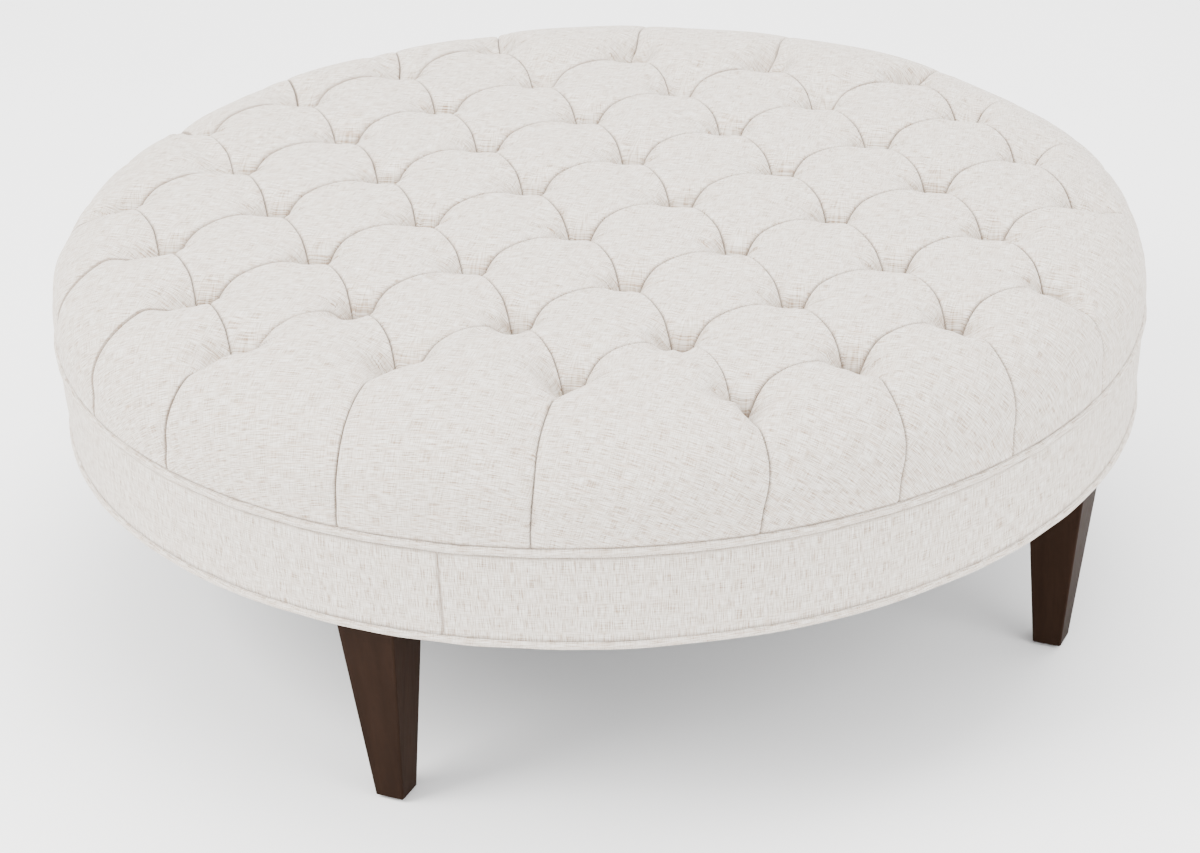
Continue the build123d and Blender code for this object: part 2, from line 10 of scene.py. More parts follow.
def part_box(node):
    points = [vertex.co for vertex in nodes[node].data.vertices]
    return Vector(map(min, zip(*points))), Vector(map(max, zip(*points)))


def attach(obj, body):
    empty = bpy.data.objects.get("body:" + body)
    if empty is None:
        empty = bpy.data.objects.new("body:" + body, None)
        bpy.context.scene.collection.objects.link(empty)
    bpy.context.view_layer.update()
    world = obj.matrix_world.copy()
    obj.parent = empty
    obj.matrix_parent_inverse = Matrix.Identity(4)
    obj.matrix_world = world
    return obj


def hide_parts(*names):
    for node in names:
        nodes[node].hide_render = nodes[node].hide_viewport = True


# Round ottoman coffee table: the looks of its diamond-tufted cushion, welts, band, legs and inner pieces.
# Metres, +Z up, origin on the floor under the centre, tuft rows along X, front towards -Y.

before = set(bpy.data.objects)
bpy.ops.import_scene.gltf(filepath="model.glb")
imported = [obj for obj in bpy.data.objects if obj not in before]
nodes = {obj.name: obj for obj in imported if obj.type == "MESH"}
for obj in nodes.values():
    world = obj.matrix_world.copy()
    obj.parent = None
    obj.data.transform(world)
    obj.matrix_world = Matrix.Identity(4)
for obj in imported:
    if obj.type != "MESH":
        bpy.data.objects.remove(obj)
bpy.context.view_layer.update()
chance = np.random.default_rng(41)

# Sizes read from the frame

band_low, band_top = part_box("band_cover")
band_radius = band_top.x
seam_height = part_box("tufted_cover")[0].z
ring_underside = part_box("base_ring")[0].z
tack_strip_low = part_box("tack_strip")[0].z
hoop_outer_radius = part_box("rim_hoop")[1].x
batting_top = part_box("batting_wrap")[1]

# Room between the pieces, and the cavity in the cushion that holds foam and batting

fit_gap = 0.0003
cavity_radius = batting_top.x + 0.0012
cavity_height = batting_top.z + 0.0007
cavity_wall_height = seam_height + 0.026
cavity_ceiling_radii = (0.50, 0.30, 0.10, 0.0)

# Welts: a cord in a fabric tube with a flange. The upper welt and the band's edge flare out to the cushion

welt_radius = 0.0045
welt_cord_radius = 0.0031
welt_flare = 0.004
upper_welt_set_back = 0.0005
lower_welt_set_back = 0.0020
lower_welt_rise = 0.0029
flange_thickness = 0.0010
flange_width = 0.0090
hoop_thickness = 0.0030
welt_unevenness = 0.0005
welt_waves = 9
welt_wave_turns = (3, 60)
welt_segments = 900
welt_tube_points = 28
welt_bore_points = 12
upper_ring_radius = band_radius - upper_welt_set_back + welt_flare
lower_ring_radius = band_radius - lower_welt_set_back
lower_ring_height = ring_underside + lower_welt_rise

# Band: thin fabric, slightly full between the welts, with one sewn join

band_thickness = 0.0012
band_segments = 1200
band_steps = 22
band_belly = 0.0010
band_belly_power = 0.6
band_slack = 0.0006
band_drift = 0.00036
band_drift_waves = 12
band_drift_turns = (2, 40)
band_ruffle = 0.00035
band_ruffle_waves = 14
band_ruffle_turns = (30, 150)
wave_size_shares = (0.4, 1.0)
join_angle = radians(-89.0)
join_depth = 0.0011
join_half_width = 0.0009
join_ridge = 0.0004
join_ridge_place = 0.004
join_ridge_width = 0.003
# Painted shade in the join's groove and along the band's edges next to the welts
join_shade_width = 0.0011
band_edge_shade = 0.6
band_edge_shade_width = 0.0022

# Tuft lattice: rows from back to front, and where the pleats of the outer tufts reach the welt

tufts_in_row = (4, 5, 6, 7, 6, 7, 6, 5, 4)
last_row = len(tufts_in_row) // 2
tuft_step = 0.0875
row_step = 0.1085
side_pleat_angles = {(6, 1): 14.5, (5, 2): 31.0, (4, 3): 45.3, (3, 4): 59.5, (1, 4): 80.7}
foot_shift = 0.005
front_angle = -90

# Top of the cushion: how deep its pockets lie and how high pleats and crowns stand over them

pocket_height = 0.4495
pocket_fall = 0.014
pleat_rise = 0.0235
crown_rise = 0.0060
puff_range = 0.0015
most_cells = 60

# Rounded shoulder, from the inner pleats down to the welt

bulge_radius = band_radius + 0.006
bulge_height = 0.382
shoulder_start_radius = 0.408
shoulder_turn_radius = 0.555
shoulder_rise = 0.0055
shoulder_power = 2.4
undercut_power = 0.8
shoulder_steps = 60
undercut_steps = 40
level_run = 0.070
tilt_run = 0.030
rim_run = 0.22
foot_radius = band_radius + welt_flare - fit_gap
foot_height = seam_height + 0.0048
foot_tucks = ((0.0016, 0.0020), (0.0042, 0.0036))
hem_radius = 0.5985
hem_gap = 0.0004
flat_cloth_radius = 0.690

# Side pleats: they sink in, but not at the back, and bow sideways, away from the front

side_sink = 0.005
side_sink_power = 1.5
side_sink_start_run = 0.050
side_sink_end_run = 0.030
back_sink_cut = 1.1
back_sink_sine = 0.6
side_bow = 0.010
bow_centre = radians(-73)
bow_turnover = 0.12
bow_skew = 0.9

# Cross-section of a fold, where one pillow's lip lies over the next one's edge.
# Each row: distance from the fold's line, depth, reach of the lip and painted shade, all but the first as
# shares.

fold_depth = 0.0045
lip_reach = 0.0008
lip_side = np.array([
    (0.0000, 1.00, 0.00, 1.0),
    (0.0005, 0.55, 0.80, 0.7),
    (0.0010, 0.20, 1.00, 0.1),
    (0.0017, 0.00, 0.90, 0.0),
    (0.0026, -0.09, 0.70, 0.0),
    (0.0040, -0.11, 0.40, 0.0),
    (0.0070, -0.06, 0.15, 0.0),
    (0.0120, -0.02, 0.03, 0.0),
    (0.0180, 0.00, 0.00, 0.0),
]).T
edge_side = np.array([
    (0.0000, 1.00, 0.00, 1.00),
    (0.0005, 0.97, 0.00, 1.00),
    (0.0010, 0.85, 0.00, 1.00),
    (0.0015, 0.55, 0.00, 0.90),
    (0.0022, 0.27, 0.00, 0.55),
    (0.0032, 0.10, 0.00, 0.12),
    (0.0050, 0.03, 0.00, 0.00),
    (0.0080, 0.00, 0.00, 0.00),
]).T
lip_start_run = 0.004
foot_fade_run = 0.006
foot_depth_share = 0.4

# Painted shade in the folds, as strengths and as widenings of the painted shade in the tables above. On top,
# pleats that rise to the right are darker and wider than those that fall, most so on the left. The inner
# edges of the rim cells at the back left are wide too. A side pleat gapes more the farther round from the
# front it is.

rising_shade = 0.82
rising_widening = 1.3
rising_widening_left = 0.8
falling_shade = 0.66
falling_widening = 0.8
left_full_at = 0.4
back_left_widening = 2.5
lip_shade = 0.30
lip_shade_gape = 1.10
gap_shade = 0.38
gap_shade_gape = 1.15
gap_width = 0.0018
gap_width_gape = 0.0034
gap_width_far = 0.0014
gap_edge = 0.0011
right_gape = 0.5
# Painted shade line at the cushion's foot, just above the upper welt
foot_shade_start = 0.0008
foot_shade_run = 0.0030

# Tufts: a slit across each, a pit and a shallow hollow round it, and short wrinkles that fan out behind

tuft_reach = 0.070
slit_half = 0.0068
slit_sharpness = 0.0012
slit_reach = 0.045
slit_left_share = -0.30
slit_right_share = 0.12
slit_turn = 0.002
outer_slit_lean = 0.35
back_start = 0.0008
back_run = 0.0020
pit_sink = 0.0100
pit_stretch = 1.5
pit_back_radius = 0.0095
pit_front_radius = 0.0190
hollow_sink = 0.0030
hollow_radius = 0.022
front_row_drop = 0.0045
# Painted shade in the pit behind the slit, in the hollow round it and along the wrinkles
pit_shade = 0.55
pit_shade_stretch = 1.4
pit_shade_radius = 0.0080
hollow_shade = 0.11
wrinkle_counts = (3, 6)
wrinkle_fan = 42
wrinkle_lengths = (0.014, 0.030)
wrinkle_depths = (0.0006, 0.0013)
wrinkle_width = 0.0016
wrinkle_start = 0.001
wrinkle_start_run = 0.004
wrinkle_full_share = 0.3
wrinkle_shade = 0.10

# The lattice lies to the right of the middle, and its lines wander a little

lattice_shift = 0.008
shift_low = 0.352
shift_rise = 0.075
shift_full_radius = 0.43
shift_fade_run = 0.13
wander_waves = 12
wander_lengths = (0.12, 0.34)
wander_sideways = 0.0007
wander_upwards = 0.0003

# Pressed pillows: how far the cloth simulation may move a point

press_frames = 16
bulge_cap = 0.0045
bulge_softness = 0.010
weld_decimals = 4
weld_distance = 0.00002
tiny = 1e-9


def smooth(value):
    value = np.clip(value, 0.0, 1.0)
    return value * value * (3 - 2 * value)


def arch(share):
    return 4 * share * (1 - share)


def bell(value):
    return np.exp(-(value**2))


def graded(length, first, growth, widest):
    """Shares from 0 to 1 with fine steps at both ends."""
    steps = [first]
    while sum(steps) < length / 2:
        steps.append(min(steps[-1] * growth, widest))
    half = np.concatenate([[0.0], np.cumsum(steps)])
    half *= length / 2 / half[-1]
    return np.concatenate([half, length - half[-2::-1]]) / length


fine_shares = graded(hypot(tuft_step, row_step), first=0.00045, growth=1.16, widest=0.0026)
fine_rows = graded(rim_run, first=0.00045, growth=1.15, widest=0.0028)
coarse_shares = np.linspace(0, 1, 15)
coarse_rows = np.linspace(0, 1, 22)


# Lattice


def tuft_place(column, row):
    return np.array([column * tuft_step, -row * row_step])


def tuft_lattice():
    """Column and row of each tuft. Columns count half steps from the middle, rows count towards the front."""
    found = []
    for index, count in enumerate(tufts_in_row):
        for place in range(count):
            found.append((2 * place - count + 1, index - last_row))
    return found


tufts = tuft_lattice()
known_tufts = set(tufts)


def is_outer(column, row):
    ends_row = abs(column) == tufts_in_row[row + last_row] - 1
    return abs(row) == last_row or (ends_row and row != 0)


def pleat_angle(column, row):
    """Where an outer tuft's pleat reaches the welt, in degrees round the middle."""
    angle = side_pleat_angles[abs(column), abs(row)]
    x, y = tuft_place(column, row)
    if x < 0:
        angle = 180 - angle
    angle = angle if y > 0 else -angle
    return angle - degrees(foot_shift * sin(radians(angle)) / band_radius)


def angle_from_front(angle):
    return abs((angle - front_angle + 180) % 360 - 180)


def bow_way(angle):
    """Side pleats bow away from the front by this share of the full bow."""
    return np.tanh(np.sin(angle - bow_centre) / bow_turnover)


# Height of the cloth


def pocket_level(x, y):
    return pocket_height - pocket_fall * (x * x + y * y) / band_radius**2


def crown_level(radius):
    """Height of the crowns, which fall over the shoulder in a full rounded curve."""
    shoulder = pocket_level(shoulder_start_radius, 0)
    start = shoulder + pleat_rise + shoulder_rise
    reach = np.clip((radius - shoulder_start_radius) / (bulge_radius - shoulder_start_radius), 0, 1)
    fall = (1 - reach**shoulder_power) ** (1 / shoulder_power)
    centre = pocket_level(np.minimum(radius, shoulder_start_radius), 0) - shoulder
    return bulge_height + (start - bulge_height) * fall + centre


# Folds


def fold(distance, over):
    """Depth, reach of the lip and painted shade of the cloth beside a fold, on the side that lies over or
    under.
    """
    distances, *shares = lip_side if over else edge_side
    depth, reach, shade = (np.interp(distance, distances, share) for share in shares)
    return fold_depth * depth, lip_reach * reach, shade


def deepest(depth, down):
    """Joins two folds where they meet, so that together they sink no deeper than one."""
    return depth + down - np.maximum(depth, 0) * np.maximum(down, 0) / fold_depth


def side_pleat_shade(side, distance, over):
    """Painted shade beside a side pleat. It gapes more the farther it is round from the front, most on the
    left.
    """
    swing = sin(radians(side) - bow_centre)
    gape = max(-swing, right_gape * swing)
    if over:
        return fold(distance, over)[2] * (lip_shade + lip_shade_gape * gape)
    width = gap_width + gap_width_gape * gape**2 + gap_width_far * gape**8
    return smooth((width - distance) / gap_edge) * (gap_shade + gap_shade_gape * gape)


# Cells of cloth


@dataclass
class Patch:
    """A grid of cloth points, with each one's place in the flat cloth and the painted shade of its fold.

    across and along give the grid lines as shares of the cell. A rim cell runs down to the welt.
    """

    points: np.ndarray
    cloth: np.ndarray
    shade: np.ndarray
    across: np.ndarray
    along: np.ndarray
    is_rim: bool


def inner_patch(column, row, puff, shares, folded):
    """One diamond between four tufts. Its back edges lie over, its front edges lie under."""
    back = tuft_place(column, row - 1)
    to_right = tuft_place(column + 1, row) - back
    to_left = tuft_place(column - 1, row) - back
    u, v = np.meshgrid(shares, shares, indexing="ij")
    plan = back + u[..., None] * to_right + v[..., None] * to_left
    p = pleat_rise * arch(u)
    q = pleat_rise * arch(v)
    height = p + q - p * q / pleat_rise + (crown_rise + puff) * arch(u) * arch(v)
    points = np.dstack([plan, pocket_level(plan[..., 0], plan[..., 1]) + height])
    depth = np.zeros(u.shape)
    shade = np.zeros(u.shape)
    if folded:
        width = abs(to_right[0] * to_left[1] - to_right[1] * to_left[0]) / np.linalg.norm(to_right)
        back_right = -to_left / np.linalg.norm(to_left)
        back_left = -to_right / np.linalg.norm(to_right)
        leftness = np.clip(-plan[..., 0] / left_full_at, 0, 1)
        rising = rising_widening + rising_widening_left * leftness, rising_shade
        falling = falling_widening, falling_shade
        edges = (
            (v, True, back_right, falling),
            (u, True, back_left, rising),
            (1 - v, False, back_right, falling),
            (1 - u, False, back_left, rising),
        )
        for share, over, way, (widening, strength) in edges:
            down, reach, _ = fold(share * width, over)
            depth = deepest(depth, down)
            points[..., :2] += reach[..., None] * way
            # Painted shade along the pleat lines of this diamond
            shade = np.maximum(shade, strength * fold(share * width / widening, over)[2])
        points[..., 2] -= depth
    return Patch(points, plan, shade, shares, shares, is_rim=False)


def inner_chain(first, second):
    """Lattice points along the inner edge of the rim cell between two outer tufts."""
    if abs(first[0] - second[0]) == 1:
        return [first, second]
    column = (first[0] + second[0]) // 2
    row = (first[1] + second[1]) // 2
    if first[1] == second[1]:
        row -= 1 if first[1] > 0 else -1
    else:
        column -= 1 if first[0] > 0 else -1
    return [first, (column, row), second]


def rim_profile(level, offset, aside_squared):
    """Distance along a section and height of the cloth, from its inner point to the welt."""
    turn = np.arcsin((shoulder_turn_radius - shoulder_start_radius) / (bulge_radius - shoulder_start_radius))
    turns = np.linspace(turn, pi / 2, shoulder_steps)
    radii = shoulder_start_radius + (bulge_radius - shoulder_start_radius) * np.sin(turns)
    falls = np.linspace(0, pi / 2, undercut_steps)[1:]
    low_radii = foot_radius + (bulge_radius - foot_radius) * np.cos(falls) ** undercut_power
    low_heights = bulge_height - (bulge_height - foot_height) * np.sin(falls)
    flat = np.linspace(0, sqrt(shoulder_turn_radius**2 - aside_squared) - offset, shoulder_steps)[:-1]
    flat_radii = np.sqrt(aside_squared + (flat + offset) ** 2)
    steep = np.sqrt(np.concatenate([radii, low_radii]) ** 2 - aside_squared) - offset
    along = np.concatenate([flat, steep])
    height = np.concatenate([crown_level(np.concatenate([flat_radii, radii])), low_heights])
    height += (level - height[0]) * np.clip(1 - (along / level_run) ** 2, 0, 1) ** 2
    return along, height


def rim_course(inner, angle, level, sink, bow, shares):
    """One section of a rim cell: its points, the way out of each, its place in the flat cloth and its run."""
    outward = np.array([cos(angle), sin(angle)])
    heading = outward * bulge_radius - inner
    heading /= np.linalg.norm(heading)
    offset = inner @ heading
    along, height = rim_profile(level, offset, inner @ inner - offset**2)
    run = np.concatenate([[0], np.cumsum(np.hypot(np.diff(along), np.diff(height)))])
    at = shares * run[-1]
    along = np.interp(at, run, along)
    height = np.interp(at, run, height)
    tangent = np.gradient(np.column_stack([along, height]), at, axis=0)
    tangent /= np.linalg.norm(tangent, axis=1)[:, None]
    upward = np.column_stack([-tangent[:, 1:] * heading, tangent[:, 0]])
    sideways = np.array([-outward[1], outward[0]])
    swing = bow * np.sin(pi * shares**bow_skew)
    points = np.column_stack([inner + along[:, None] * heading + swing[:, None] * sideways, height])
    to_end = (at - run[-1] + side_sink_end_run) / side_sink_end_run
    sunk = sink * smooth(at / side_sink_start_run) * (1 - smooth(to_end))
    points -= sunk[:, None] * upward
    tilt = smooth(at / tilt_run)[:, None]
    out = tilt * upward + (1 - tilt) * np.array([0, 0, 1.0])
    out /= np.linalg.norm(out, axis=1)[:, None]
    radius = np.linalg.norm(points[:, :2], axis=1)[:, None]
    cloth = points[:, :2] / radius * (flat_cloth_radius - run[-1] + at)[:, None]
    return points, out, cloth, at


def fold_rim(points, out, run, lips, widenings, start, end):
    """Sinks a rim cell into the folds along its edges. Gives its points and the painted shade in the folds.
    """
    depth = np.zeros(run.shape)
    shade = np.zeros(run.shape)
    shift = np.zeros(points.shape)
    for i, (lip, widening) in enumerate(zip(lips, widenings)):
        over = lip is not None
        depth[i], reach, _ = fold(run[i], over)
        shade[i] = fold(run[i] / widening, over)[2]
        if over:
            shift[i, :, :2] = reach[:, None] * lip
    middle = angle_from_front((start + end) / 2)
    for side, border in ((start, points[0]), (end, points[-1])):
        gap = points - border[None]
        distance = np.linalg.norm(gap, axis=2)
        over = middle < angle_from_front(side)
        down, reach, _ = fold(distance, over)
        depth = deepest(depth, down)
        pull = (reach * smooth(run / lip_start_run))[..., None]
        shift -= gap / np.maximum(distance, tiny)[..., None] * pull
        shade = np.maximum(shade, side_pleat_shade(side, distance, over))
    to_foot = run[:, -1:] - run
    foot_fade = smooth(to_foot / foot_fade_run)
    depth *= foot_depth_share + (1 - foot_depth_share) * foot_fade
    # Painted shade line at the foot, where the cloth meets the welt
    shade = np.maximum(shade, 1 - smooth((to_foot - foot_shade_start) / foot_shade_run))
    return points + shift * foot_fade[..., None] - out * depth[..., None], shade


def rim_patch(first, second, start, end, puff, shares, rows, folded):
    """A cell between two outer tufts, from the inner pleats over the shoulder to the welt."""
    chain = inner_chain(first, second)
    pieces = len(chain) - 1
    start_bow, end_bow = (side_bow * bow_way(radians(side)) for side in (start, end))
    columns, wholes, lips, widenings = [], [], [], []
    for index in range(pieces):
        a, b = tuft_place(*chain[index]), tuft_place(*chain[index + 1])
        inward = np.array([a[1] - b[1], b[0] - a[0]])
        if inward @ ((a + b) / 2) > 0:
            inward = -inward
        inward /= np.linalg.norm(inward)
        for share in shares if index == pieces - 1 else shares[:-1]:
            place = a + (b - a) * share
            whole = (index + share) / pieces
            angle = radians(start + (end - start) * whole)
            less_at_back = 1 - back_sink_cut * smooth(sin(angle) / back_sink_sine)
            sink = side_sink * (1 - arch(whole)) ** side_sink_power * less_at_back
            bow = (1 - whole) * start_bow + whole * end_bow
            level = pocket_level(*place) + pleat_rise * arch(share)
            points, out, cloth, run = rim_course(place, angle, level, sink, bow, rows)
            points += out * (puff * arch(whole) * arch(rows))[:, None]
            columns.append((points, out, cloth, run))
            wholes.append(whole)
            lips.append(inward if inward[1] > 0 else None)
            widenings.append(back_left_widening if inward[0] > 0 > inward[1] else 1.0)
    points, out, cloth, run = (np.stack(part) for part in zip(*columns))
    shade = np.zeros(run.shape)
    if folded:
        points, shade = fold_rim(points, out, run, lips, widenings, start, end)
    return Patch(points, cloth, shade, np.array(wholes), rows, is_rim=True)


puffs = chance.uniform(-puff_range, puff_range, most_cells)


def build_patches(shares, rows, folded):
    """All cells of the cover: the diamonds between four tufts, then the rim cells round them."""
    patches = []
    for column in range(-tufts_in_row[last_row], tufts_in_row[last_row] + 1):
        for row in range(1 - last_row, last_row):
            around = {(column - 1, row), (column + 1, row), (column, row - 1), (column, row + 1)}
            if around <= known_tufts:
                patches.append(inner_patch(column, row, puffs[len(patches)], shares, folded))
    ring = sorted((tuft for tuft in tufts if is_outer(*tuft)), key=lambda tuft: pleat_angle(*tuft))
    for index, first in enumerate(ring):
        second = ring[(index + 1) % len(ring)]
        start, end = pleat_angle(*first), pleat_angle(*second)
        if end < start:
            end += 360
        patches.append(rim_patch(first, second, start, end, puffs[-1 - index], shares, rows, folded))
    return patches


# Meshes


def mesh_object(name, vertices, faces):
    mesh = bpy.data.meshes.new(name)
    mesh.from_pydata([tuple(v) for v in vertices], [], faces)
    mesh.update()
    mesh.polygons.foreach_set("use_smooth", np.ones(len(mesh.polygons), bool))
    obj = bpy.data.objects.new(name, mesh)
    bpy.context.scene.collection.objects.link(obj)
    return obj


def grid_faces(rows, columns, start, flip):
    i, j = np.meshgrid(np.arange(rows - 1), np.arange(columns - 1), indexing="ij")
    a = start + i * columns + j
    quads = np.stack([a, a + columns, a + columns + 1, a + 1], axis=-1).reshape(-1, 4)
    return quads[:, ::-1] if flip else quads


def ring_faces(segments, count, start):
    """Quads between closed profiles of count points, set one after another round the axis."""
    faces = []
    for k in range(segments):
        for i in range(count):
            here, there = start + k * count, start + (k + 1) % segments * count
            above = (i + 1) % count
            faces.append((here + i, there + i, there + above, here + above))
    return faces


def weave_places(obj, cloth, painted_shade):
    """Stores each point's place in the flat cloth and the painted shade of its fold, for the fabric material.
    """
    kinds = (("cloth", "FLOAT_VECTOR", "vector", cloth), ("painted_shade", "FLOAT", "value", painted_shade))
    for name, kind, key, values in kinds:
        attribute = obj.data.attributes.new(name, kind, "POINT")
        attribute.data.foreach_set(key, np.asarray(values, np.float32).ravel())


# Cloth simulation


def press(places, faces, held):
    """How far each point of a sheet moves when pressure fills it, with the held points fixed."""
    sheet = mesh_object("pressed_sheet", places, faces)
    pins = sheet.vertex_groups.new(name="held")
    pins.add([int(i) for i in np.flatnonzero(held)], 1.0, "REPLACE")
    cloth = sheet.modifiers.new("cloth", "CLOTH").settings
    cloth.vertex_group_mass = "held"
    cloth.quality = 6
    cloth.mass = 0.3
    cloth.tension_stiffness = 12
    cloth.compression_stiffness = 4
    cloth.shear_stiffness = 4
    cloth.bending_stiffness = 0.8
    cloth.shrink_min = -0.02
    cloth.use_pressure = True
    cloth.uniform_pressure_force = 4.0
    cloth.effector_weights.gravity = 0
    for frame_number in range(1, press_frames + 1):
        bpy.context.scene.frame_set(frame_number)
    seen = sheet.evaluated_get(bpy.context.evaluated_depsgraph_get())
    moved = np.empty(len(places) * 3, np.float32)
    seen.data.vertices.foreach_get("co", moved)
    bpy.context.scene.frame_set(1)
    bpy.data.objects.remove(sheet)
    return moved.reshape(-1, 3) - places


def pressed_bulges():
    """The fibre's pressure fills each pillow of a coarse copy, held at tufts, pleats and welt."""
    patches = build_patches(coarse_shares, coarse_rows, folded=False)
    places, faces, held, start = [], [], [], 0
    for patch in patches:
        n, m = patch.points.shape[:2]
        faces.append(grid_faces(n, m, start, flip=patch.is_rim))
        places.append(patch.points.reshape(-1, 3))
        pin = np.zeros((n, m), bool)
        pin[[0, -1], :] = True
        pin[:, [0, -1]] = True
        held.append(pin.ravel())
        start += n * m
    places, faces, held = np.concatenate(places), np.concatenate(faces), np.concatenate(held)
    _, keep, same = np.unique(np.round(places, weld_decimals), axis=0, return_index=True, return_inverse=True)
    same = same.ravel()
    moved = press(places[keep], same[faces].tolist(), held[keep])
    length = np.linalg.norm(moved, axis=1)
    moved *= (bulge_cap * np.tanh(length / bulge_softness) / np.maximum(length, tiny))[:, None]
    moved = moved[same]
    bulges, start = [], 0
    for patch in patches:
        n, m = patch.points.shape[:2]
        bulges.append((patch.across, patch.along, moved[start:start + n * m].reshape(n, m, 3)))
        start += n * m
    return bulges


def spread(bulge, across, along):
    """Values of a coarse grid at the places of a finer one."""
    coarse_across, coarse_along, values = bulge
    rows = np.stack([
        np.stack([np.interp(along, coarse_along, line[:, k]) for line in values]) for k in range(3)
    ], axis=-1)
    return np.stack([
        np.stack([np.interp(across, coarse_across, rows[:, j, k]) for j in range(len(along))], axis=1)
        for k in range(3)
    ], axis=-1)


# Tufts


def wrinkles(reach, bearing):
    """Short ridges behind a tuft, each with its own way and length: how far they sink and the strength of
    their painted shade.
    """
    sink = np.zeros_like(reach)
    strength = np.zeros_like(reach)
    for _ in range(chance.integers(*wrinkle_counts)):
        way = radians(90 + chance.uniform(-wrinkle_fan, wrinkle_fan))
        length = chance.uniform(*wrinkle_lengths)
        full = wrinkle_full_share * length
        window = smooth((reach - wrinkle_start) / wrinkle_start_run)
        window *= 1 - smooth((reach - full) / (length - full))
        ridge = bell(reach * np.sin(bearing - way) / wrinkle_width) * window * (np.cos(bearing - way) > 0)
        sink += chance.uniform(*wrinkle_depths) * ridge
        strength += ridge
    return sink, strength


def tuft_pull(dx, dy, column, row):
    """How far one tuft draws the cloth round it sideways and down, and how much painted shade that cloth
    gets.
    """
    reach = np.hypot(dx, dy)
    side = dx
    if abs(row) == last_row:
        angle = radians(pleat_angle(column, row))
        lean = outer_slit_lean * np.sign(bow_way(angle) * -sin(angle))
        side = dx + lean * np.maximum(0, -np.sign(row) * dy)
    fade = np.clip(1 - (reach / slit_reach) ** 2, 0, 1) ** 2
    uneven = np.where(dx < 0, slit_left_share, slit_right_share) * np.tanh(dy / slit_turn)
    slide = slit_half * (1 + uneven) * np.tanh(side / slit_sharpness) * fade
    behind = smooth((dy + back_start) / back_run)
    hollow = bell(reach / hollow_radius)
    pit_radius = np.where(dy > 0, pit_back_radius, pit_front_radius)
    sink = pit_sink * bell(np.hypot(dx / pit_stretch, dy) / pit_radius) + hollow_sink * behind * hollow
    if row == last_row:
        sink += front_row_drop * np.clip(1 - (reach / tuft_reach) ** 2, 0, 1) ** 2
    wrinkle_sink, strength = wrinkles(reach, np.arctan2(dy, dx))
    dark = pit_shade * behind * bell(np.hypot(dx / pit_shade_stretch, dy) / pit_shade_radius)
    dark += wrinkle_shade * strength + hollow_shade * hollow
    return slide, sink + wrinkle_sink, dark


def warp(points):
    """Draws the cloth in at each tuft, lets all lines wander a little and shifts the lattice. Also gives the
    painted shade round each tuft.
    """
    x, y, z = points.T.copy()
    shade = np.zeros_like(z)
    for column, row in tufts:
        away = points[:, :2] - tuft_place(column, row)
        near = np.hypot(*away.T) < tuft_reach
        slide, sink, dark = tuft_pull(*away[near].T, column, row)
        x[near] += slide
        z[near] -= sink
        shade[near] += dark
    top = smooth((points[:, 2] - shift_low) / shift_rise)
    for _ in range(wander_waves):
        direction, turn, phase = chance.uniform(0, 2 * pi, 3)
        length = chance.uniform(*wander_lengths)
        wave = np.sin(2 * pi * (cos(direction) * x + sin(direction) * y) / length + phase)
        x += wander_sideways * wave * cos(turn) * top
        y += wander_sideways * wave * sin(turn) * top
        z += wander_upwards * wave * top
    # Over the shoulder only the part of the shift along the rim is kept, so that the outline stays round
    bearing = np.arctan2(y, x)
    inside = 1 - smooth((np.hypot(x, y) - shift_full_radius) / shift_fade_run)
    x += lattice_shift * top * (inside * np.cos(bearing) ** 2 + np.sin(bearing) ** 2)
    y += lattice_shift * top * (inside - 1) * np.cos(bearing) * np.sin(bearing)
    return np.column_stack([x, y, z]), shade


# Cushion

lining = [(foot_radius - inwards, foot_height - down) for inwards, down in foot_tucks]
lining += [(hem_radius, seam_height + hem_gap), (cavity_radius, seam_height + hem_gap)]
lining += [(cavity_radius, cavity_wall_height), (cavity_radius, cavity_height)]
lining += [(radius, cavity_height) for radius in cavity_ceiling_radii]


def lined(grid, cloth, shade):
    """Carries a rim cell on from its foot, in behind the welt and round the cavity for the foam."""
    foot = grid[:, -1]
    angle = np.arctan2(foot[:, 1], foot[:, 0])
    outward = np.column_stack([np.cos(angle), np.sin(angle)])
    rings = [np.column_stack([radius * outward, np.full(len(angle), height)]) for radius, height in lining]
    grid = np.concatenate([grid, np.stack(rings, axis=1)], axis=1)
    cloth = np.concatenate([cloth, np.repeat(cloth[:, -1:], len(lining), axis=1)], axis=1)
    shade = np.concatenate([shade, np.repeat(shade[:, -1:], len(lining), axis=1)], axis=1)
    return grid, cloth, shade


def tufted_cushion():
    """The cover: all cells welded along their pleats, closed underneath round the foam."""
    bulges = pressed_bulges()
    points, cloths, shades, faces, shown, start = [], [], [], [], [], 0
    for index, patch in enumerate(build_patches(fine_shares, fine_rows, folded=True)):
        grid, cloth, shade = patch.points, patch.cloth, patch.shade
        if bulges:
            grid = grid + spread(bulges[index], patch.across, patch.along)
        if patch.is_rim:
            grid, cloth, shade = lined(grid, cloth, shade)
        n, m = grid.shape[:2]
        faces.append(grid_faces(n, m, start, flip=patch.is_rim))
        points.append(grid.reshape(-1, 3))
        cloths.append(cloth.reshape(-1, 2))
        shades.append(shade.ravel())
        shown.append(np.tile(np.arange(m) < len(patch.along), n))
        start += n * m
    points, shades, shown = np.concatenate(points), np.concatenate(shades), np.concatenate(shown)
    points[shown], tuft_shade = warp(points[shown])
    shades[shown] += tuft_shade
    obj = mesh_object("cushion_cover", points, np.concatenate(faces).tolist())
    cloth = np.column_stack([np.concatenate(cloths), np.zeros(len(points))])
    weave_places(obj, cloth, np.clip(shades, 0, 1))
    work = bmesh.new()
    work.from_mesh(obj.data)
    bmesh.ops.remove_doubles(work, verts=work.verts, dist=weld_distance)
    bmesh.ops.recalc_face_normals(work, faces=work.faces)
    work.to_mesh(obj.data)
    work.free()
    return obj


cushion = tufted_cushion()
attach(cushion, "root")
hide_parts("tufted_cover")


# Welts


